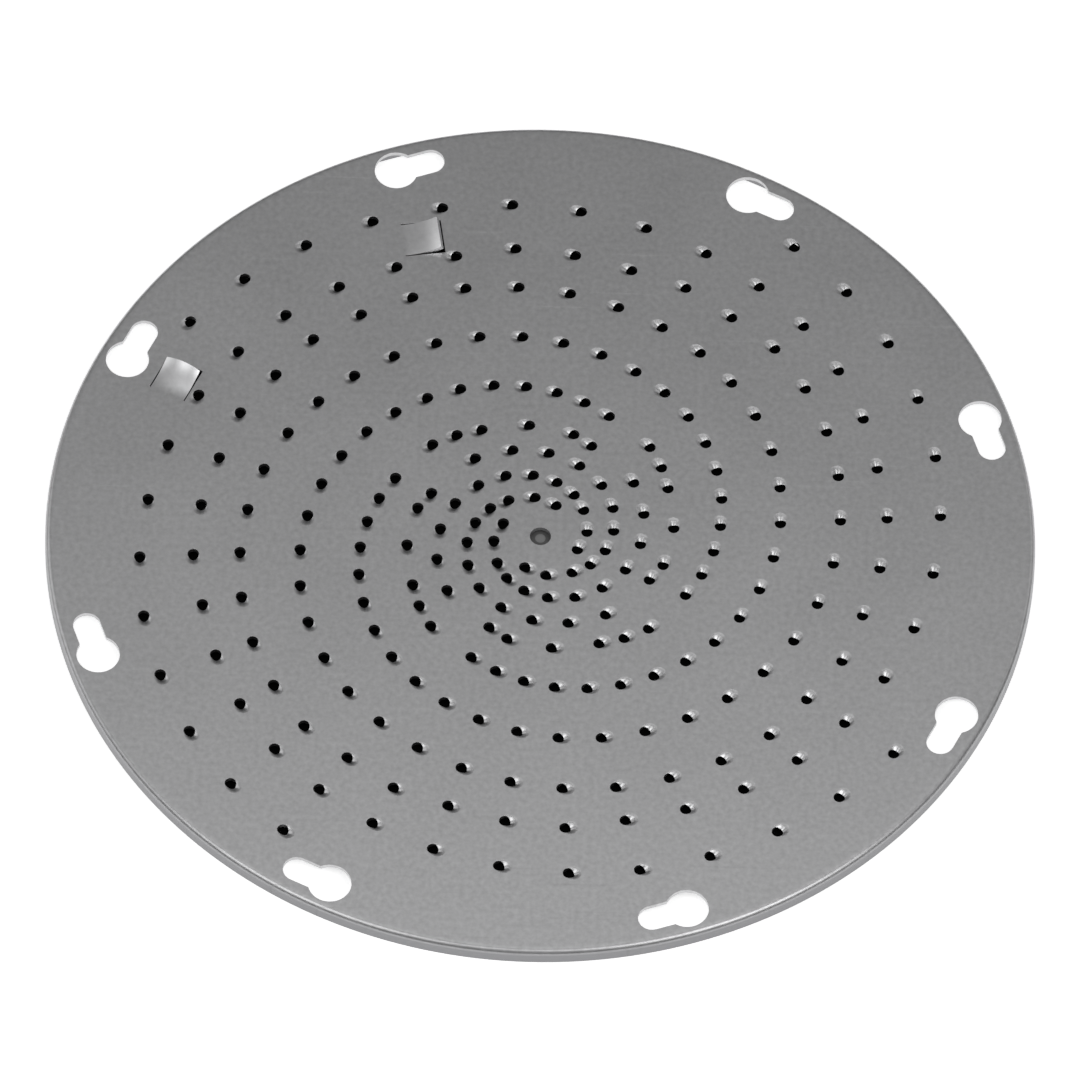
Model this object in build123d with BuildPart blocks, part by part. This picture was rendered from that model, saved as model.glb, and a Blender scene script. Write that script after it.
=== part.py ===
"""Shredder plate: one round stainless sheet with a turned-down rim.

The plate lies on the edge of its rim with its back upwards, as in the photo. Four spirals of
teeth are drawn downwards out of the sheet: seen from the back, each tooth is a small hole with a
ramp that leads down into it from the counter-clockwise side, and seen from the front, each is a
hood with its mouth facing ahead. Eight keyholes near the rim take the studs of a holder. Two
tongues are lanced out of the sheet and bent up towards the holder.

Frame: millimetres, +Z up, the origin at the middle of the circle that the rim stands on.
Angles run counter-clockwise, seen from above, from +X.
"""
from build123d import *
from math import atan2, cos, degrees, pi, sin, sqrt
import os

os.makedirs("parts", exist_ok=True)

# Sheet and rim
outer_diameter = 235.0
sheet = 1.2
rim_height = 4.0
fold_radius = 1.4
fold_flats = 2
pilot_width = 5.0

# Tooth: a round hole, and a ramp that is drawn down towards it
hole_width = 2.75
ramp_length = 1.75
ramp_drop = 0.85
hole_setback = 0.55

# Keyholes, and how far the middle of each head is from the outside of the rim
keyholes = 8
key_inset = 7.3
keyhole_angle = 19.6
key_head = 10.3
key_neck = 6.6
key_travel = 8.7

# Spirals of teeth, all alike and evenly spread, and the turn from each tooth to the next. The last
# tooth of each is inside the heads of the keyholes by the spiral gap.
spirals = 4
first_radius = 9.525
spiral_gap = 1.8625
first_angle = 65
turns = [30, 30] + [20] * 9 + [30, 10, 20, 20, 10, 10, 20] + [10] * 44
level_angles = (685, 705, 735)

# Lanced tongues. The middle of each is a number of the spirals' steps out from the first tooth, and
# at an angle. The swing is how far it is turned from lying straight along its circle.
tongue_width = 8.8
tongue_length = 8.6
tongue_lift = 2.4
lance_gap = 0.25
tongue_steps = [50.5, 55.3]
tongue_angles = [109.9, 154.7]
tongue_swings = [-11, 0]

outer_radius = outer_diameter / 2
under = rim_height - sheet
key_radius = outer_radius - key_inset
last_radius = key_radius - key_head / 2 - spiral_gap
radius_step = (last_radius - first_radius) / (len(turns) - len(level_angles))
tongue_radii = [first_radius + steps * radius_step for steps in tongue_steps]


def fold_points():
    """The outside of the fold at the rim: a quarter circle as a few flats, from the wall inwards."""
    middle = (outer_radius - fold_radius, rim_height - fold_radius)
    angles = [pi / 2 * step / fold_flats for step in range(fold_flats + 1)]
    return [(middle[0] + fold_radius * cos(a), middle[1] + fold_radius * sin(a)) for a in angles]


def spiral_places():
    """The radius and angle of each tooth on one spiral, from the middle outwards.

    The radius grows by one step with each tooth, apart from a few angles where it stays level.
    """
    radius, angle = first_radius, first_angle
    places = [(radius, angle)]
    for turn in turns:
        angle += turn
        if angle not in level_angles:
            radius += radius_step
        places.append((radius, angle))
    return places


def tooth_locations(height):
    """Where the teeth are, at a height, each turned so that its own X points outwards."""
    lift = Location((0, 0, height))
    return [
        lift * spot
        for radius, angle in spiral_places()
        for spot in PolarLocations(radius, spirals, angle)
    ]


def tongue_locations():
    """Where the tongues are, each turned so that its own X points outwards, and then by its swing."""
    return [
        spot * Location((0, 0), swing)
        for radius, angle, swing in zip(tongue_radii, tongue_angles, tongue_swings)
        for spot in PolarLocations(radius, 1, angle)
    ]


# The ramp of one tooth, in a frame with X outwards and Y counter-clockwise on the tooth's place.
# The hole is six-sided, with the area of the round one and a flat side towards the ramp, where the
# ramp ends in a lip. The solid runs on to the middle of the hole, and up from there to the ramp's tip.
corner = hole_width / 2 * sqrt(2 * pi / (3 * sqrt(3)))
tip = hole_setback + corner * cos(pi / 6) + ramp_length
reach = (tip - hole_setback) / ramp_length
with BuildPart() as ramp:
    with BuildSketch(Plane.XZ.offset(-hole_setback)) as mouth:
        with BuildLine():
            Polyline(
                (-corner, 0),
                (corner, 0),
                (corner / 2 * reach, -ramp_drop * reach),
                (-corner / 2 * reach, -ramp_drop * reach),
                close=True,
            )
        make_face()
    loft(sections=[mouth.sketch.face(), Vertex(0, tip, 0)])

# What is cut from above for one tooth: its hole, through the sheet and the hood, and its ramp.
with BuildPart() as tooth_cut:
    with BuildSketch():
        with Locations((0, hole_setback)):
            RegularPolygon(radius=corner, side_count=6)
    extrude(amount=-sheet - ramp_drop * reach)
    add(ramp.part)

# One keyhole, in the same kind of frame: the head on its place and the neck clockwise of it.
with BuildSketch() as keyhole:
    Circle(key_head / 2)
    with Locations(Location((0, -key_travel / 2), 90)):
        SlotCenterToCenter(key_travel, key_neck)

# One tongue, in the same kind of frame: it leaves the sheet at its counter-clockwise end and
# curves up on an arc to its free end.
hinge = tongue_length / 2
tongue_bend = 2 * atan2(tongue_lift, tongue_length)
tongue_radius = tongue_length / sin(tongue_bend)
flat_length = (tongue_radius + sheet / 2) * tongue_bend
with BuildPart() as tongue:
    with BuildSketch(Plane.YZ):
        with BuildLine():
            centre = (hinge, rim_height + tongue_radius)
            top = CenterArc(centre, tongue_radius, 270, -degrees(tongue_bend))
            bottom = CenterArc(centre, tongue_radius + sheet, 270, -degrees(tongue_bend))
            Line(top @ 1, bottom @ 1)
            root = hinge + sheet
            Polyline(top @ 0, (root, rim_height), (root, under), bottom @ 0)
        make_face()
    extrude(amount=tongue_width / 2, both=True)

with BuildPart() as shredder_plate:
    # The sheet and its rim
    with BuildSketch(Plane.XZ):
        with BuildLine():
            Polyline(
                (0, under),
                (outer_radius - sheet, under),
                (outer_radius - sheet, 0),
                (outer_radius, 0),
                *fold_points(),
                (0, rim_height),
                close=True,
            )
        make_face()
    revolve(axis=Axis.Z)

    # The keyholes, the pilot hole and the windows that the tongues were lanced from
    with BuildSketch(Plane.XY.offset(rim_height)):
        Circle(pilot_width / 2)
        with PolarLocations(key_radius, keyholes, keyhole_angle):
            add(keyhole.sketch)
        with Locations(*tongue_locations()):
            with Locations((0, hinge)):
                Rectangle(
                    tongue_width + 2 * lance_gap,
                    flat_length + lance_gap,
                    align=(Align.CENTER, Align.MAX),
                )
    extrude(amount=-sheet, mode=Mode.SUBTRACT)

    with Locations(*tongue_locations()):
        add(tongue.part)

    # The teeth: hoods drawn down below the sheet, then their ramps and holes
    with Locations(*tooth_locations(under)):
        add(ramp.part)
    with Locations(*tooth_locations(rim_height)):
        add(tooth_cut.part, mode=Mode.SUBTRACT)

shredder_plate.part.label = "shredder_plate"
export_step(shredder_plate.part, "parts/shredder_plate.step")
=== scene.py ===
# %% [markdown]
# # A shredder plate
# The plate comes from a vegetable slicer. It is one round sheet of stainless steel, and the photo
# shows its back: four spirals of small holes, eight keyholes for the studs of a holder, two lanced
# tongues, and a rim that is folded down all round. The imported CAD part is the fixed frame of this
# lesson. It has every feature in its place, with few faces. Here the same sheet is built again as
# one smooth surface, which then gets its thickness, its steel and its light.

import bmesh
import bpy
import numpy as np
from mathutils import Matrix, Vector
from mathutils.geometry import delaunay_2d_cdt


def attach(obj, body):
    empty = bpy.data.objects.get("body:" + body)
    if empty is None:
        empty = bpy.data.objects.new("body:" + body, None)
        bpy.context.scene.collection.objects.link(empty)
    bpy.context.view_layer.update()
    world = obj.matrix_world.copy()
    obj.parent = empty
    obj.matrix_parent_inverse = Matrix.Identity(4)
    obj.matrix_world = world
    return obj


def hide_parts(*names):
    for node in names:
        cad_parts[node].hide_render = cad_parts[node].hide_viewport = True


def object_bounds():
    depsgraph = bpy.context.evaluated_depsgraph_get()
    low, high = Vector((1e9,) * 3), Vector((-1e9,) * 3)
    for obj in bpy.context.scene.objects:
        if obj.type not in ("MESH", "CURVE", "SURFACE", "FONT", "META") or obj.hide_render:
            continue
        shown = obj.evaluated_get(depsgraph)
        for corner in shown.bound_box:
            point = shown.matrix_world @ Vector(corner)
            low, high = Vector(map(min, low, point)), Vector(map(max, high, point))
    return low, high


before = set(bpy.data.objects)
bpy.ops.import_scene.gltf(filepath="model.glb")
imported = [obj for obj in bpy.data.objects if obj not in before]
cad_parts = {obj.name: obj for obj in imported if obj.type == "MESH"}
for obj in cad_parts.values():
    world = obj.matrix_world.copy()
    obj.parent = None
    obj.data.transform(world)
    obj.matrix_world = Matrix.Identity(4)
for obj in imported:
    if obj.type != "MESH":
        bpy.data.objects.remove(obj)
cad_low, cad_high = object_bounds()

print("nodes", sorted(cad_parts), "size in mm", [round(1000 * x, 2) for x in cad_high - cad_low])

# %% [markdown]
# ## Sizes
# A sheet-metal part is drawn from few sizes: the thickness of the sheet, the fold at the rim, one
# tooth, one keyhole and one tongue. They are given in millimetres, as on a drawing, and turned to
# metres when a mesh is made. The outside radius comes from the frame.

# %% Sizes in millimetres
MM = 0.001
OUTER_RADIUS = cad_high.x / MM
SHEET = 1.2
RIM_HEIGHT = 4.0
FOLD_RADIUS = 1.4
PILOT_WIDTH = 5.0

HOLE_WIDTH = 2.75
HOLE_SETBACK = 0.55
RAMP_LENGTH = 1.75
RAMP_DROP = 0.85

KEYHOLES = 8
KEY_INSET = 7.3
KEY_ANGLE = 19.6
KEY_HEAD = 10.3
KEY_NECK = 6.6
KEY_TRAVEL = 8.7

TONGUE_WIDTH = 8.8
TONGUE_LENGTH = 8.6
TONGUE_LIFT = 2.4
LANCE_GAP = 0.25
print("outside radius", round(OUTER_RADIUS, 2), "mm")

# %% [markdown]
# ## Where the teeth are
# On the real plate a press pierces one tooth after another while a table turns the sheet. Each
# spiral starts 9.5 mm from the middle, and each tooth is one sixteenth of an inch further out than
# the last, apart from three that stay level. The turns between them get smaller on the way out, so
# that the teeth stay about evenly spread. Angles and radii could be typed in tooth by tooth; running
# sums of the turns say the same in one line, and the other three spirals are quarter turns of the
# first.

# %% Radius and angle of every tooth
SPIRALS = 4
FIRST_RADIUS = 9.525
RADIUS_STEP = 1.5875
FIRST_ANGLE = 65
TURNS = [30, 30] + [20] * 9 + [30, 10, 20, 20, 10, 10, 20] + [10] * 44
LEVEL_ANGLES = (685, 705, 735)

one_spiral = FIRST_ANGLE + np.cumsum([0] + TURNS)
rises = ~np.isin(one_spiral, LEVEL_ANGLES)
rises[0] = False
tooth_radius = np.repeat(FIRST_RADIUS + RADIUS_STEP * np.cumsum(rises), SPIRALS)
tooth_angle = np.radians((one_spiral[:, None] + 360 / SPIRALS * np.arange(SPIRALS)).ravel())
print(len(tooth_radius), "teeth, from", tooth_radius.min(), "to", round(tooth_radius.max(), 2), "mm out")

# %% [markdown]
# ## One tooth
# A punch pierces a round hole and in the same stroke draws the metal on one side of it down into a
# ramp that ends in a sharp lip. From the back it looks like a thumbprint that runs into a hole. It
# could be cut and sculpted, but 252 copies have to stay light. So the tooth is a ring of faces
# round its hole: one parameter runs round the hole, the other from its edge out to the flat sheet.

# %% The tooth as a function of two parameters
# The collar is a width in millimetres. The tip's width and the two fades are shares: of the hole's
# radius, and for the toe of the way from the hole's edge to the end of the drawn metal.
COLLAR = 0.15
RAMP_POWER = 1.2
TIP_WIDTH = 0.7
SIDE_FADE = 0.7
TOE_FADE = 0.3


def soft_step(x):
    """0 below 0, 1 above 1, and three x squared minus two x cubed between them."""
    x = np.clip(x, 0, 1)
    return x * x * (3 - 2 * x)


def tooth_surface(turn, out):
    """The back of one tooth, with x away from the plate's middle and y along the ramp.

    turn is the angle round the hole from the ramp's middle line, and out is 0 at the hole's edge
    and 1 where the drawn metal ends; past 1 it is the flat collar. lead is 1 on the middle line
    and 0 opposite. The distance from the hole's middle is its radius, plus the collar and the
    rest of the ramp's length times lead cubed, times out.

    The ramp is a trough. climb is 1 at the lip and 0 at the ramp's tip. The depth is the lip's
    depth times climb to the ramp's power, times the trough's round section, which is one minus the
    square of x over the trough's half width, times soft steps that keep it off the hole's other
    side and off the collar.
    """
    lead = (1 + np.cos(turn)) / 2
    drawn = np.minimum(out, 1)
    reach = (COLLAR + (RAMP_LENGTH - COLLAR) * lead**3) * drawn + COLLAR * np.maximum(out - 1, 0)
    hole = HOLE_WIDTH / 2
    x, y = (hole + reach) * np.sin(turn), (hole + reach) * np.cos(turn)
    climb = np.clip((hole + RAMP_LENGTH - y) / RAMP_LENGTH, 0, 1)
    half_width = hole * (TIP_WIDTH + (1 - TIP_WIDTH) * climb)
    section = np.clip(1 - (x / half_width) ** 2, 0, 1)
    fade = soft_step(0.5 + y / hole / SIDE_FADE) * soft_step((1 - drawn) / TOE_FADE)
    fall = climb**RAMP_POWER * section * fade
    return np.stack([x, HOLE_SETBACK + y, -RAMP_DROP * fall], -1), fall


print("depth of the ramp's lip", round(-tooth_surface(0.0, 0.0)[0][2], 2), "mm")

# %% The tooth's grid of points
# The columns stand closer together on the ramp's side than on the other. The last ring is the
# outside of the collar.
TOOTH_COLUMNS = 16
COLUMN_PULL = 0.2
TOOTH_RINGS = np.array([0, 0.5, 1, 1.6])

even_turns = np.linspace(0, 2 * np.pi, TOOTH_COLUMNS, endpoint=False)
tooth_turns = even_turns - COLUMN_PULL * np.sin(even_turns)
tooth, tooth_drawn = tooth_surface(tooth_turns[None, :], TOOTH_RINGS[:, None])
print("a tooth has", (len(TOOTH_RINGS) - 1) * TOOTH_COLUMNS, "faces")

# %% Put a shape at a place on the plate
def on_plate(shape, radius, angle, swing=0.0):
    """Copies a shape to each place: its x axis points outwards at the angle, its y counter-clockwise.

    The new point is the place, plus x times the outward direction, plus y times the direction a
    quarter turn on. The swing turns both directions about the place, and z counts from the flat
    back of the plate.
    """
    radius, angle, turned = np.broadcast_arrays(radius, angle, angle + swing)
    extra = (1,) * (shape.ndim - 1)
    radius, angle, turned = (v.reshape(v.shape + extra) for v in (radius, angle, turned))
    x = radius * np.cos(angle) + shape[..., 0] * np.cos(turned) - shape[..., 1] * np.sin(turned)
    y = radius * np.sin(angle) + shape[..., 0] * np.sin(turned) + shape[..., 1] * np.cos(turned)
    return np.stack([x, y, shape[..., 2] + RIM_HEIGHT + 0 * x], -1)


teeth = on_plate(tooth, tooth_radius, tooth_angle)
print("all teeth", teeth.shape)

# %% Faces of a grid and of its copies
def grid_faces(rows, columns, closed):
    """The four corners of each face of a grid whose points are counted row by row.

    A closed grid has one more column of faces, from its last column back to its first.
    """
    face_columns = columns if closed else columns - 1
    row, column = np.meshgrid(np.arange(rows - 1), np.arange(face_columns), indexing="ij")
    here, next_row = row * columns, (row + 1) * columns
    after = (column + 1) % columns
    corners = [here + column, here + after, next_row + after, next_row + column]
    return np.stack(corners, -1).reshape(-1, 4)


def copied_faces(faces, copies, points_each):
    """The faces of several copies of a grid: each copy's numbers start where the last one's end."""
    starts = np.arange(copies) * points_each
    return (starts[:, None, None] + faces).reshape(-1, 4)


one_tooth_faces = grid_faces(len(TOOTH_RINGS), TOOTH_COLUMNS, closed=True)
teeth_faces = copied_faces(one_tooth_faces, len(teeth), tooth[..., 0].size)
print("faces of all teeth", len(teeth_faces))

# %% [markdown]
# ## The rim
# The edge of the disc is folded down on a spinning lathe, which stiffens the sheet and gives the
# plate something to stand on. It could be extruded from the disc's edge and bevelled, but a fold like
# this is simply a profile carried round a circle: a short flat piece, a quarter circle and a straight
# wall.

# %% The rim as a profile round a circle
RIM_LEAD = 0.6
RIM_COLUMNS = 240
FOLD_POINTS = 7

fold_turn = np.linspace(0, np.pi / 2, FOLD_POINTS)
profile_radius = np.concatenate([
    [OUTER_RADIUS - FOLD_RADIUS - RIM_LEAD],
    OUTER_RADIUS - FOLD_RADIUS * (1 - np.sin(fold_turn)),
    [OUTER_RADIUS, OUTER_RADIUS],
])
profile_height = np.concatenate([
    [RIM_HEIGHT],
    RIM_HEIGHT - FOLD_RADIUS * (1 - np.cos(fold_turn)),
    [RIM_HEIGHT - FOLD_RADIUS - RIM_LEAD / 2, 0],
])


def round_the_axis(radius, height, columns):
    """Carries a profile round the plate's axis: each point of it becomes a circle of that radius."""
    angle = np.linspace(0, 2 * np.pi, columns, endpoint=False)
    x, y = radius[:, None] * np.cos(angle), radius[:, None] * np.sin(angle)
    return np.stack([x, y, height[:, None] + 0 * x], -1)


rim = round_the_axis(profile_radius, profile_height, RIM_COLUMNS)
rim_faces = grid_faces(len(profile_radius), RIM_COLUMNS, closed=True)
print("rim", rim.shape, "lowest", rim[..., 2].min(), "highest", rim[..., 2].max())

# %% [markdown]
# ## The tongues
# Two tongues are lanced: cut free on three sides and bent up on an arc from the fourth, towards the
# holder. The punch also rolls their long edges over, those of the second tongue more. A tongue could
# be an extruded profile, but then it would have no roll. Each is a strip of the sheet, so it is a
# grid, with one parameter across the strip and one along it. The strip starts a little before the
# bend, on the flat.

# %% The tongue as a function of two parameters
HINGE = TONGUE_LENGTH / 2
TONGUE_BEND = 2 * np.arctan2(TONGUE_LIFT, TONGUE_LENGTH)
TONGUE_RADIUS = TONGUE_LENGTH / np.sin(TONGUE_BEND)
TONGUE_FLAT = (TONGUE_RADIUS + SHEET / 2) * TONGUE_BEND


def tongue_surface(across, bend, roll):
    """The back of a tongue: across runs over its width, and bend is the angle that it has turned.

    The distance back from the hinge is the arc's radius times the sine of the bend, and the height
    is the radius times one minus its cosine. A bend below 0 stands for the flat root. The long
    edges drop by the roll times the bend's share, times the square of the distance from the middle
    line, which is 1 at an edge.
    """
    turned = np.maximum(bend, 0)
    y = HINGE - TONGUE_RADIUS * np.sin(turned) - TONGUE_RADIUS * np.minimum(bend, 0)
    z = TONGUE_RADIUS * (1 - np.cos(turned)) - roll * turned / TONGUE_BEND * across**2
    return np.stack([TONGUE_WIDTH / 2 * across + 0 * y, y + 0 * across, z], -1)


print("a tongue bends by", round(np.degrees(TONGUE_BEND), 1), "degrees")

# %% Both tongues
# The middle of a tongue is a number of the spirals' steps out from the first tooth.
TONGUE_ROOT = 0.5
TONGUE_STEPS = np.array([50.5, 55.3])
TONGUE_ANGLES = np.radians([109.9, 154.7])
TONGUE_SWINGS = np.radians([-11, 0])
EDGE_ROLLS = (0.25, 1.1)
TONGUE_COLUMNS, BEND_ROWS = 9, 11

tongue_radius = FIRST_RADIUS + RADIUS_STEP * TONGUE_STEPS
tongue_across = np.sin(np.linspace(-np.pi / 2, np.pi / 2, TONGUE_COLUMNS))
tongue_bends = np.concatenate([[-TONGUE_ROOT / TONGUE_RADIUS], np.linspace(0, TONGUE_BEND, BEND_ROWS)])
tongue_shapes = [
    tongue_surface(tongue_across[None, :], tongue_bends[:, None], roll) for roll in EDGE_ROLLS
]
tongue_places = zip(tongue_radius, TONGUE_ANGLES, TONGUE_SWINGS)
tongues = np.stack([on_plate(shape, *place) for shape, place in zip(tongue_shapes, tongue_places)])
one_tongue_faces = grid_faces(len(tongue_bends), TONGUE_COLUMNS, closed=False)
tongue_faces = copied_faces(one_tongue_faces, len(tongues), tongues[0, ..., 0].size)
print("tongues", tongues.shape, "highest", round(tongues[..., 2].max(), 2), "mm")

# %% [markdown]
# ## Outlines of the openings
# A keyhole is a round head with a narrower neck. A window is the rectangle that a tongue was cut
# from, with a gap as wide as the lancing blade's clearance. They could be cut from the finished sheet
# with a boolean, which leaves long thin faces and stray points. Here each is a closed line of points,
# worked out once and copied to its places, and the flat sheet is then made up to these lines.

# %% Keyholes and the pilot hole
HEAD_POINTS, NECK_POINTS, PILOT_POINTS = 40, 22, 32


def arc(radius, start, stop, count):
    """Points on a circle about the origin, from one angle to another in degrees."""
    angle = np.radians(np.linspace(start, stop, count))
    return np.stack([radius * np.cos(angle), radius * np.sin(angle), 0 * angle], -1)


neck_half = np.degrees(np.arcsin(KEY_NECK / KEY_HEAD))
key_outline = np.concatenate([
    arc(KEY_HEAD / 2, -90 + neck_half, 270 - neck_half, HEAD_POINTS),
    arc(KEY_NECK / 2, 180, 360, NECK_POINTS) - [0, KEY_TRAVEL, 0],
])
key_angles = np.radians(KEY_ANGLE + 360 / KEYHOLES * np.arange(KEYHOLES))
keyholes = on_plate(key_outline, OUTER_RADIUS - KEY_INSET, key_angles)
pilot = arc(PILOT_WIDTH / 2, 0, 360, PILOT_POINTS + 1)[:-1] + [0, 0, RIM_HEIGHT]
print("keyholes", keyholes.shape, "pilot", pilot.shape)

# %% Windows of the tongues
# A window's outline follows the root of its tongue, which is the same on both, and then the cut.
root_edge, hinge_line = tongue_shapes[0][:2]
window_half = TONGUE_WIDTH / 2 + LANCE_GAP
window_end = HINGE - TONGUE_FLAT - LANCE_GAP
window_outline = np.concatenate([
    root_edge,
    hinge_line[-1:],
    [[window_half, HINGE, 0], [window_half, window_end, 0]],
    [[-window_half, window_end, 0], [-window_half, HINGE, 0]],
    hinge_line[:1],
])
windows = on_plate(window_outline, tongue_radius, TONGUE_ANGLES, TONGUE_SWINGS)
print("windows", windows.shape)

# %% [markdown]
# ## The flat sheet between them
# What is left is flat, with a lot of holes in it. A grid can't follow so many outlines, but a flat
# area between closed lines is what Blender's constrained triangulation is for: it joins the given
# points with triangles and keeps every given line as an edge. The outlines are the outermost rings
# of the teeth, the rim's first circle and the openings, so all pieces meet point on point.

# %% Fill the flat area between the outlines
# Every outline runs counter-clockwise, the rim's first. A triangle that lies inside the rim's
# outline and no other is sheet; the rest are openings or belong to the teeth.
INSIDE_ONLY, CLOSE = 1, 1e-5

outlines = [rim[0], *teeth[:, -1, ::-1], *keyholes, *windows[:, ::-1], pilot]
outline_points = np.concatenate(outlines)
outline_ends = np.cumsum([len(line) for line in outlines])
outline_numbers = np.split(np.arange(len(outline_points)), outline_ends[:-1])
flat_xy, _, triangles, _, _, inside = delaunay_2d_cdt(
    [Vector(p) for p in outline_points[:, :2]],
    [],
    [numbers.tolist() for numbers in outline_numbers],
    INSIDE_ONLY,
    CLOSE,
)
flat_xy = np.array(flat_xy)
flat = np.concatenate([flat_xy, np.full((len(flat_xy), 1), RIM_HEIGHT)], -1)
flat_faces = np.array([t for t, within in zip(triangles, inside) if list(within) == [0]])
print("flat area", len(flat), "points from", len(outline_points), "given,", len(flat_faces), "triangles")

# %% [markdown]
# ## One sheet
# The four surfaces share their edge points, so they are welded into one skin: the back of the
# sheet. Solidify then gives it the thickness of the sheet towards the front, as in a real pressing,
# where the hoods of the teeth, the inside of the rim and the underside of the tongues follow from
# the back. The front could be worked out as a second set of surfaces, with the same result and twice
# the code. Bevel breaks the cut edges, which on the real plate are tumbled until they don't cut the
# hand.

# %% Join the four surfaces
parts = [(teeth, teeth_faces), (rim, rim_faces), (tongues, tongue_faces), (flat, flat_faces)]
points = np.concatenate([p.reshape(-1, 3) for p, _ in parts])
starts = np.cumsum([0] + [p[..., 0].size for p, _ in parts[:-1]])
faces = sum(((f + start).tolist() for (_, f), start in zip(parts, starts)), [])

skin = bpy.data.meshes.new("shredder_plate_sheet")
skin.from_pydata((points * MM).tolist(), [], faces)
print("joined", len(points), "points and", len(faces), "faces")

# %% Mark the drawn metal, the painted shade of the rim and the painted highlight of the tongues
# Three shares from 0 to 1 go with the points: how far a tooth's metal is drawn, how much painted shade
# darkens the rim's fold and wall, and how much painted highlight brightens a tongue, which is most at
# its free end and its long edges.
RIM_SHADE_POWER = 1.2
MIDDLE_HIGHLIGHT = 0.5

drawn = np.zeros(len(points), np.float32)
drawn[:starts[1]] = np.broadcast_to(tooth_drawn, teeth.shape[:-1]).ravel()
# The rim's share is painted shade, growing round the fold and full on the wall.
painted_rim_shade = np.zeros(len(points), np.float32)
rim_shade_share = np.clip((RIM_HEIGHT - profile_height) / FOLD_RADIUS, 0, 1) ** RIM_SHADE_POWER
painted_rim_shade[starts[1]:starts[2]] = np.repeat(rim_shade_share, RIM_COLUMNS)
# The tongues' share is painted highlight, most at the free end and along the long edges.
painted_tongue_highlight = np.zeros(len(points), np.float32)
bend_share = np.sqrt(np.clip(tongue_bends / TONGUE_BEND, 0, 1))
edge_share = MIDDLE_HIGHLIGHT + (1 - MIDDLE_HIGHLIGHT) * tongue_across**2
painted_tongue_highlight[starts[2]:starts[3]] = np.tile(np.outer(bend_share, edge_share).ravel(), len(tongues))

for name, share in (("drawn", drawn), ("painted_rim_shade", painted_rim_shade), ("painted_tongue_highlight", painted_tongue_highlight)):
    skin.attributes.new(name, "FLOAT", "POINT").data.foreach_set("value", share)
    print(name, "points", int((share > 0).sum()))

# %% Weld the surfaces into one skin
WELD = 2e-6

weld = bmesh.new()
weld.from_mesh(skin)
bmesh.ops.remove_doubles(weld, verts=weld.verts, dist=WELD)
bmesh.ops.recalc_face_normals(weld, faces=weld.faces)
upward = sum(f.normal.z * f.calc_area() for f in weld.faces)
if upward < 0:
    bmesh.ops.reverse_faces(weld, faces=weld.faces)
open_edges = sum(len(e.link_faces) == 1 for e in weld.edges)
bad_edges = sum(len(e.link_faces) > 2 for e in weld.edges)
weld.to_mesh(skin)
weld.free()
print("skin", len(skin.vertices), "points", len(skin.polygons), "faces")
print("open edges", open_edges, "bad edges", bad_edges)

# %% Give the sheet its thickness and break its edges
EDGE_BREAK = 0.07
EDGE_ANGLE = np.radians(55)

plate = bpy.data.objects.new("shredder_plate_sheet", skin)
bpy.context.scene.collection.objects.link(plate)
thickness = plate.modifiers.new("thickness", "SOLIDIFY")
thickness.thickness = SHEET * MM
thickness.offset = -1
broken_edges = plate.modifiers.new("broken edges", "BEVEL")
broken_edges.width = EDGE_BREAK * MM
broken_edges.segments = 1
broken_edges.limit_method = "ANGLE"
broken_edges.angle_limit = EDGE_ANGLE
print("modifiers", [m.name for m in plate.modifiers])

# %% Keep the finished mesh and its sharp edges
SHARP_ANGLE = np.radians(32)

evaluated = plate.evaluated_get(bpy.context.evaluated_depsgraph_get())
finished = bpy.data.meshes.new_from_object(evaluated)
plate.modifiers.clear()
plate.data = finished
finished.name = "shredder_plate_sheet"
finished.shade_smooth()
finished.set_sharp_from_angle(angle=SHARP_ANGLE)
finished.calc_loop_triangles()
corner_points = np.empty(len(finished.vertices) * 3)
finished.vertices.foreach_get("co", corner_points)
corner_points = corner_points.reshape(-1, 3) / MM
print("sheet", len(finished.loop_triangles), "triangles")
print("box in mm", corner_points.min(0), corner_points.max(0))

# %% [markdown]
# ## Satin stainless steel
# The sheet is cold-rolled stainless steel with a satin finish. It is a neutral grey metal: all that
# it shows is a soft blur of what stands round it. Rolling leaves a very fine grain in one direction,
# tumbling leaves a faint mottle, stacking and washing leave a few faint scratches, and the drawn
# metal of the teeth is rubbed smoother by the punch. Painting these on as pictures would tie them to
# one size; procedural noise in the object's own coordinates keeps its scale in millimetres. Attributes
# of the mesh mark the drawn metal, the painted shade on the rim's fold and wall, and the painted
# highlight on the tongues.

# %% Colour and node helpers
def linear(code):
    """An sRGB hex colour as linear red, green, blue and alpha."""
    value = np.array([int(code[i:i + 2], 16) for i in (1, 3, 5)]) / 255
    low_part, high_part = value / 12.92, ((value + 0.055) / 1.055) ** 2.4
    return (*np.where(value <= 0.04045, low_part, high_part).tolist(), 1.0)


def add_node(tree, kind, inputs=None, **settings):
    """Adds a node, sets its properties, and sets or links its inputs by name or number."""
    node = tree.nodes.new(kind)
    for name, value in settings.items():
        setattr(node, name, value)
    for name, value in (inputs or {}).items():
        if isinstance(value, bpy.types.NodeSocket):
            tree.links.new(value, node.inputs[name])
        else:
            node.inputs[name].default_value = value
    return node


def new_material(name):
    """A material with an empty node tree and its output node."""
    material = bpy.data.materials.new(name)
    material.use_nodes = True
    material.node_tree.nodes.clear()
    return material, material.node_tree, material.node_tree.nodes.new("ShaderNodeOutputMaterial")


print("half grey, linear:", np.round(linear("#808080"), 3))

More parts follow.
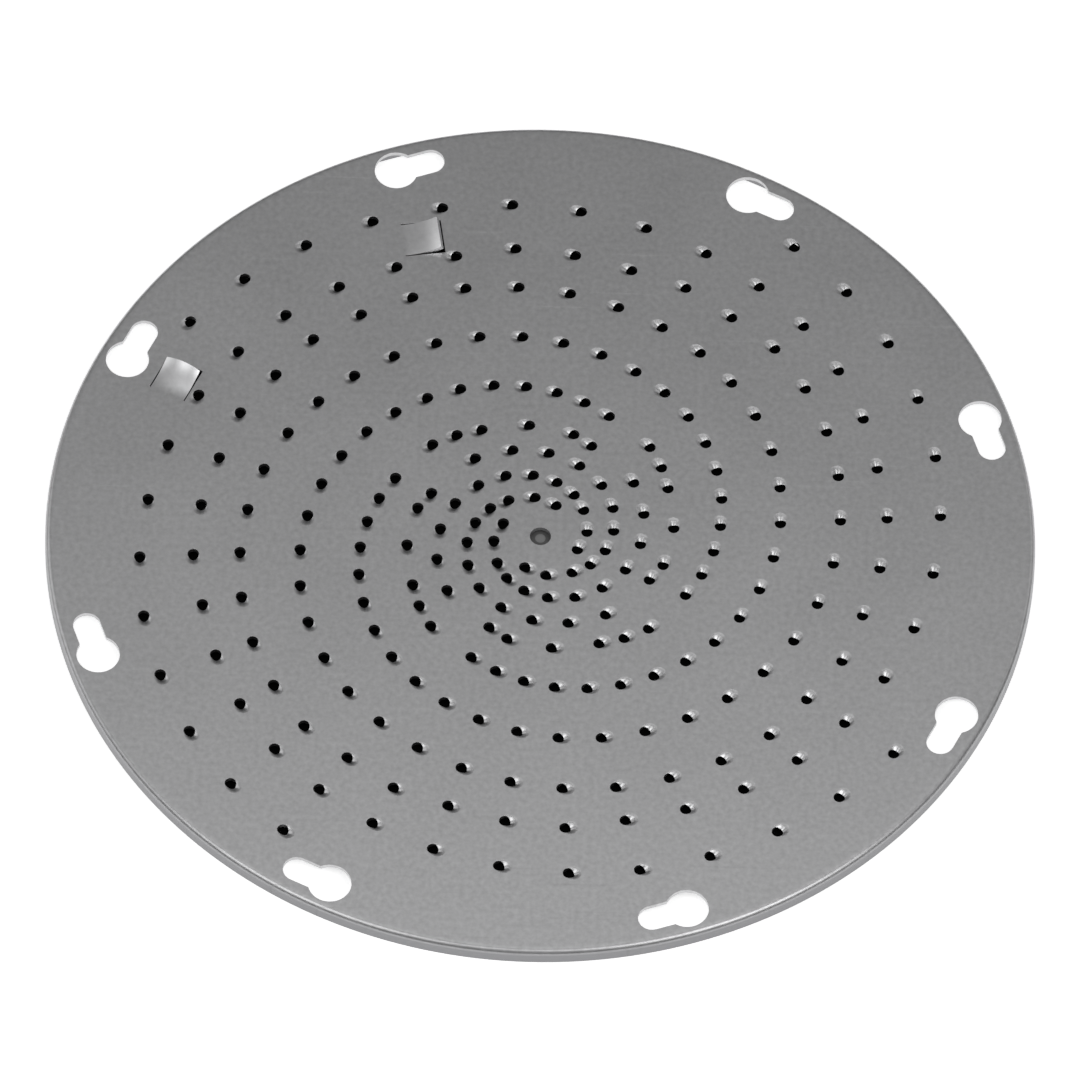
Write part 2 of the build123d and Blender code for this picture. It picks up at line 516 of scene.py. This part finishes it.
# %% Patterns in the steel, at their sizes in millimetres
GRAIN_WIDTH, GRAIN_LENGTH = 0.45, 30.0
CLOUD_SIZE = 35.0
TUMBLE_SIZE = 1.3
SCRATCH_WIDTH, SCRATCH_LENGTH, SCRATCH_ANGLE = 0.5, 45.0, 58

steel, tree, output = new_material("satin cold-rolled stainless steel")
# The noise's own cells are one unit wide, so one over a size in metres is its scale.
coordinates = add_node(tree, "ShaderNodeTexCoord").outputs["Object"]
# The grain is finer than a pixel of the picture on the real sheet; it is drawn about half a
# millimetre wide so that it shows as a faint streak.
grain_place = add_node(tree, "ShaderNodeMapping", {
    "Vector": coordinates,
    "Scale": (1 / (GRAIN_LENGTH * MM), 1 / (GRAIN_WIDTH * MM), 1 / (GRAIN_WIDTH * MM)),
})
grain = add_node(tree, "ShaderNodeTexNoise", {
    "Vector": grain_place.outputs[0], "Scale": 1.0, "Detail": 2.0,
})
clouds = add_node(tree, "ShaderNodeTexNoise", {
    "Vector": coordinates, "Scale": 1 / (CLOUD_SIZE * MM), "Detail": 3.0, "Roughness": 0.55,
})
# The dents of the tumbling chips are drawn over a millimetre wide, so that they show.
tumbled = add_node(tree, "ShaderNodeTexNoise", {
    "Vector": coordinates, "Scale": 1 / (TUMBLE_SIZE * MM), "Detail": 2.0,
})
scratch_place = add_node(tree, "ShaderNodeMapping", {
    "Vector": coordinates,
    "Rotation": (0, 0, np.radians(SCRATCH_ANGLE)),
    "Scale": (1 / (SCRATCH_LENGTH * MM), 1 / (SCRATCH_WIDTH * MM), 1 / (SCRATCH_LENGTH * MM)),
})
scratch_noise = add_node(tree, "ShaderNodeTexNoise", {
    "Vector": scratch_place.outputs[0], "Scale": 1.0, "Detail": 0.0, "Distortion": 0.15,
})
# Only the highest crests of the long noise count, so the scratches are few.
scratches = add_node(tree, "ShaderNodeMapRange", {
    "Value": scratch_noise.outputs[0], "From Min": 0.72, "From Max": 0.8, "To Min": 0.0, "To Max": 1.0,
})
print("patterns take", len(tree.nodes), "nodes")

# %% Tone of the steel
# Bare steel reflects a little over half of the light, the same in all colours.
DARK_STEEL, LIGHT_STEEL = "#b6b6b7", "#d2d2d3"
# On the next line the first colour is painted shade for the rim's wall, the second painted highlight for
# the tongues.
SHADED_WALL_STEEL, HIGHLIGHT_STEEL = "#8c8c8e", "#ededee"
CLOUD_WEIGHT, TUMBLE_WEIGHT = 0.4, 1.3

# The noises are one half on average, and so is their weighted sum.
cloud_share = add_node(tree, "ShaderNodeMath", {
    0: clouds.outputs[0], 1: CLOUD_WEIGHT, 2: 0.5 - (CLOUD_WEIGHT + TUMBLE_WEIGHT) / 2,
}, operation="MULTIPLY_ADD")
mottle = add_node(tree, "ShaderNodeMath", {
    0: tumbled.outputs[0], 1: TUMBLE_WEIGHT, 2: cloud_share.outputs[0],
}, operation="MULTIPLY_ADD")
tone = add_node(tree, "ShaderNodeMix", {
    0: mottle.outputs[0], 6: linear(DARK_STEEL), 7: linear(LIGHT_STEEL),
}, data_type="RGBA")
# Painted shade: the rim's fold and wall get a darker tone of steel, darkest on the wall.
rim_shade_fac = add_node(tree, "ShaderNodeAttribute", attribute_name="painted_rim_shade").outputs["Fac"]
shaded_wall_tone = add_node(tree, "ShaderNodeMix", {
    0: rim_shade_fac, 6: tone.outputs[2], 7: linear(SHADED_WALL_STEEL),
}, data_type="RGBA")
# Painted highlight: the raised end and the long edges of the tongues get a brighter tone of steel.
tongue_highlight_fac = add_node(tree, "ShaderNodeAttribute", attribute_name="painted_tongue_highlight").outputs["Fac"]
sheet_tone = add_node(tree, "ShaderNodeMix", {
    0: tongue_highlight_fac, 6: shaded_wall_tone.outputs[2], 7: linear(HIGHLIGHT_STEEL),
}, data_type="RGBA")
print("steel from", DARK_STEEL, "to", LIGHT_STEEL)

# %% Gloss and relief of the steel
# A satin sheet blurs what it shows over some fifteen degrees. The grain and the scratches roughen
# it, and the punch smooths the drawn metal.
SMOOTH_CLOUD, ROUGH_CLOUD = 0.34, 0.37
GRAIN_GLOSS, SCRATCH_GLOSS, DRAWN_GLOSS = 0.06, 0.1, -0.1
GRAIN_DEPTH, SCRATCH_DEPTH = 0.02, 0.03
GRAIN_STRENGTH, SCRATCH_STRENGTH = 0.05, 0.12

cloud_gloss = add_node(tree, "ShaderNodeMapRange", {
    "Value": clouds.outputs[0],
    "From Min": 0.3,
    "From Max": 0.7,
    "To Min": SMOOTH_CLOUD,
    "To Max": ROUGH_CLOUD,
})
grain_gloss = add_node(tree, "ShaderNodeMath", {
    0: grain.outputs[0], 1: GRAIN_GLOSS, 2: cloud_gloss.outputs[0],
}, operation="MULTIPLY_ADD")
scratch_gloss = add_node(tree, "ShaderNodeMath", {
    0: scratches.outputs[0], 1: SCRATCH_GLOSS, 2: grain_gloss.outputs[0],
}, operation="MULTIPLY_ADD")
drawn_metal = add_node(tree, "ShaderNodeAttribute", attribute_name="drawn").outputs["Fac"]
roughness = add_node(tree, "ShaderNodeMath", {
    0: drawn_metal, 1: DRAWN_GLOSS, 2: scratch_gloss.outputs[0],
}, operation="MULTIPLY_ADD")
grain_bump = add_node(tree, "ShaderNodeBump", {
    "Height": grain.outputs[0], "Strength": GRAIN_STRENGTH, "Distance": GRAIN_DEPTH * MM,
})
scratch_bump = add_node(tree, "ShaderNodeBump", {
    "Height": scratches.outputs[0],
    "Strength": SCRATCH_STRENGTH,
    "Distance": SCRATCH_DEPTH * MM,
    "Normal": grain_bump.outputs[0],
}, invert=True)
shader = add_node(tree, "ShaderNodeBsdfPrincipled", {
    "Base Color": sheet_tone.outputs[2],
    "Metallic": 1.0,
    "Roughness": roughness.outputs[0],
    "Normal": scratch_bump.outputs[0],
})
tree.links.new(shader.outputs[0], output.inputs["Surface"])
finished.materials.clear()
finished.materials.append(steel)
print("steel has", len(tree.nodes), "nodes")

# %% [markdown]
# ## The plate in the frame
# The new sheet stands for the CAD node of the same form, so the node is hidden and keeps its place
# in the simulation. Both could be shown, but then the CAD part's flat faces would cut through the
# smooth ones.

# %% Hand the sheet to the frame
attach(plate, "root")
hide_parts("shredder_plate")

# %% [markdown]
# ## Floor and light
# The plate lies on a plain white floor. A share of the floor's white is its own, for rays that come
# from the camera or off metal and glass, so it stays white without more light on the plate, and
# still shows the shadow. A near-black sheet under the plate is painted shade: it keeps light from coming
# back up through the teeth, so that their holes look black. A grey disc of painted shade lies under the
# pilot hole, with a lighter painted pool of light in its middle.
# The light is a grey room, darker near the floor, with five soft boxes. The two strong ones stand on
# either side of the camera: satin steel shows what it faces, and the ramps of the teeth, the fold
# of the rim and the tongues catch them, while the flat back shows the weak ones. Bare lamps would be
# simpler, but they make hard spots on metal.

# %% Floor, and the discs of painted shade and light under the plate
FLOOR_RADIUS, FLOOR_HEIGHT = 20000, -0.02
SHADE_SHEET_RADIUS, SHADE_SHEET_HEIGHT, UNDERSIDE_SHIFT = 104.7, 1.5, 0.9
DISC_LIFT = 0.1
LIGHT_POOL_RADIUS = PILOT_WIDTH / 4


def flat_disc(name, radius, height, centre_y, columns):
    """A flat disc: points on a circle at one height, joined to one face."""
    angle = np.linspace(0, 2 * np.pi, columns, endpoint=False)
    x, y = radius * np.cos(angle), radius * np.sin(angle) + centre_y
    ring = np.stack([x, y, height + 0 * angle], -1)
    mesh = bpy.data.meshes.new(name)
    mesh.from_pydata((ring * MM).tolist(), [], [list(range(columns))])
    disc = bpy.data.objects.new(name, mesh)
    bpy.context.scene.collection.objects.link(disc)
    return disc


floor = flat_disc("floor", FLOOR_RADIUS, FLOOR_HEIGHT, 0, 64)
# Painted shade: a near-black sheet under the plate, so that the holes of the teeth look black.
shade_sheet = flat_disc("painted_shade_under_plate", SHADE_SHEET_RADIUS, SHADE_SHEET_HEIGHT, UNDERSIDE_SHIFT, 128)
# Painted shade under the pilot hole, and a lighter painted pool of light on it.
pilot_shade_disc = flat_disc("painted_shade_under_pilot_hole", PILOT_WIDTH, SHADE_SHEET_HEIGHT + DISC_LIFT, UNDERSIDE_SHIFT, 24)
pilot_light_pool = flat_disc("painted_light_pool_under_pilot_hole", LIGHT_POOL_RADIUS, SHADE_SHEET_HEIGHT + 2 * DISC_LIFT, UNDERSIDE_SHIFT, 24)
print("stage", [disc.name for disc in (floor, shade_sheet, pilot_shade_disc, pilot_light_pool)])

# %% White of the floor
OWN_WHITE = 0.65

white, tree, output = new_material("matt white floor")
rays = add_node(tree, "ShaderNodeLightPath")
camera_or_glossy = add_node(tree, "ShaderNodeMath", {
    0: rays.outputs["Is Camera Ray"], 1: rays.outputs["Is Glossy Ray"],
}, operation="MAXIMUM")
seen = add_node(tree, "ShaderNodeMath", {
    0: camera_or_glossy.outputs[0], 1: rays.outputs["Is Transmission Ray"],
}, operation="MAXIMUM")
own_white = add_node(tree, "ShaderNodeMath", {0: seen.outputs[0], 1: OWN_WHITE}, operation="MULTIPLY")
matt = add_node(tree, "ShaderNodeBsdfDiffuse", {"Color": linear("#e8e8e8")})
glow = add_node(tree, "ShaderNodeEmission", {
    "Color": linear("#ffffff"), "Strength": own_white.outputs[0],
})
both = add_node(tree, "ShaderNodeAddShader", {0: matt.outputs[0], 1: glow.outputs[0]})
tree.links.new(both.outputs[0], output.inputs["Surface"])
floor.data.materials.append(white)
print("floor has", len(tree.nodes), "nodes")

# %% Matt discs of painted shade and light
# They are matt and scatter light evenly, so they have no shine and look the same from every side.
for disc, name, shade in (
    (shade_sheet, "black sheet of painted shade", "#0c0c0c"),
    (pilot_shade_disc, "grey painted shade", "#6c6c6c"),
    (pilot_light_pool, "lighter painted pool of light", "#8c8c8c"),
):
    dull, tree, output = new_material(name)
    even = add_node(tree, "ShaderNodeBsdfDiffuse", {"Color": linear(shade)})
    tree.links.new(even.outputs[0], output.inputs["Surface"])
    disc.data.materials.append(dull)
    print(name, shade)

# %% Soft boxes
# Each has a place, a width and a depth in metres, and a radiance, where 1 is as bright as white.
SOFT_BOXES = {
    "front left box": ((-0.37, -0.32, 0.63), 0.45, 0.45, 1.85),
    "front right box": ((0.34, -0.35, 0.63), 0.43, 0.45, 2.5),
    "overhead box": ((0.0, 0.16, 0.59), 0.5, 0.2, 0.81),
    "left box": ((-0.78, 0.28, 0.46), 0.65, 0.4, 0.95),
    "right box": ((0.7, 0.5, 0.5), 0.5, 0.5, 0.5),
}

for name, (place, width, depth, radiance) in SOFT_BOXES.items():
    lamp = bpy.data.lights.new(name, "AREA")
    lamp.shape = "RECTANGLE"
    lamp.size, lamp.size_y = width, depth
    # An even area light's power is its radiance times its area times pi.
    lamp.energy = radiance * np.pi * width * depth
    box = bpy.data.objects.new(name, lamp)
    box.location = place
    box.rotation_euler = Vector(place).to_track_quat("Z", "Y").to_euler()
    bpy.context.scene.collection.objects.link(box)
    print(name, round(lamp.energy, 2), "W")

# %% The grey room
# For the room, the generated coordinates are the direction, and their z is the sine of its height.
WALL_GREY, CEILING_GREY = "#4a4a4a", "#949494"
WALL_SINE, CEILING_SINE = 0.1, 0.7

room = bpy.data.worlds.new("grey room with darker walls")
bpy.context.scene.world = room
room.use_nodes = True
tree = room.node_tree
tree.nodes.clear()
direction = add_node(tree, "ShaderNodeTexCoord").outputs["Generated"]
upward_part = add_node(tree, "ShaderNodeSeparateXYZ", {"Vector": direction}).outputs["Z"]
height_share = add_node(tree, "ShaderNodeMapRange", {
    "Value": upward_part,
    "From Min": WALL_SINE,
    "From Max": CEILING_SINE,
    "To Min": 0.0,
    "To Max": 1.0,
}, interpolation_type="SMOOTHSTEP")
room_grey = add_node(tree, "ShaderNodeMix", {
    0: height_share.outputs[0], 6: linear(WALL_GREY), 7: linear(CEILING_GREY),
}, data_type="RGBA")
grey = add_node(tree, "ShaderNodeBackground", {"Color": room_grey.outputs[2], "Strength": 1.0})
add_node(tree, "ShaderNodeOutputWorld", {"Surface": grey.outputs[0]})
bpy.context.scene.view_settings.view_transform = "Standard"
print("room from", WALL_GREY, "to", CEILING_GREY)

# %% [markdown]
# ## Camera
# The photo was taken with a long lens from a little over 56 degrees above the plate, slightly
# rolled. A camera can be set by eye, but here the numbers come from setting the places of the holes
# against the photo. The lens follows from the distance and from how many pixels the plate's radius
# takes in a picture 1080 wide.

# %% The camera
ELEVATION, ROLL = np.radians(56.5), np.radians(1.62)
DISTANCE_IN_RADII = 57
RADIUS_IN_PIXELS = 495.1
MIDDLE_IN_PIXELS = (540.4, 536.2)
PICTURE = 1080
SENSOR = 36

middle = Vector((0, 0, RIM_HEIGHT * MM))
back = Vector((0, -np.cos(ELEVATION), np.sin(ELEVATION)))
turned = (-back).to_track_quat("-Z", "Y").to_matrix() @ Matrix.Rotation(ROLL, 3, "Z")
radius = OUTER_RADIUS * MM
metres_a_pixel = radius / RADIUS_IN_PIXELS
aside = (PICTURE / 2 - MIDDLE_IN_PIXELS[0]) * metres_a_pixel
above = (MIDDLE_IN_PIXELS[1] - PICTURE / 2) * metres_a_pixel

lens = bpy.data.cameras.new("long lens")
lens.sensor_width = SENSOR
lens.lens = SENSOR * RADIUS_IN_PIXELS * DISTANCE_IN_RADII / PICTURE
camera = bpy.data.objects.new("camera", lens)
camera.rotation_euler = turned.to_euler()
camera.location = middle + back * DISTANCE_IN_RADII * radius + turned @ Vector((aside, above, 0))
bpy.context.scene.collection.objects.link(camera)
bpy.context.scene.camera = camera
print("lens", round(lens.lens), "mm at", round(DISTANCE_IN_RADII * radius, 2), "m")

# %% Update the view layer
bpy.context.view_layer.update()
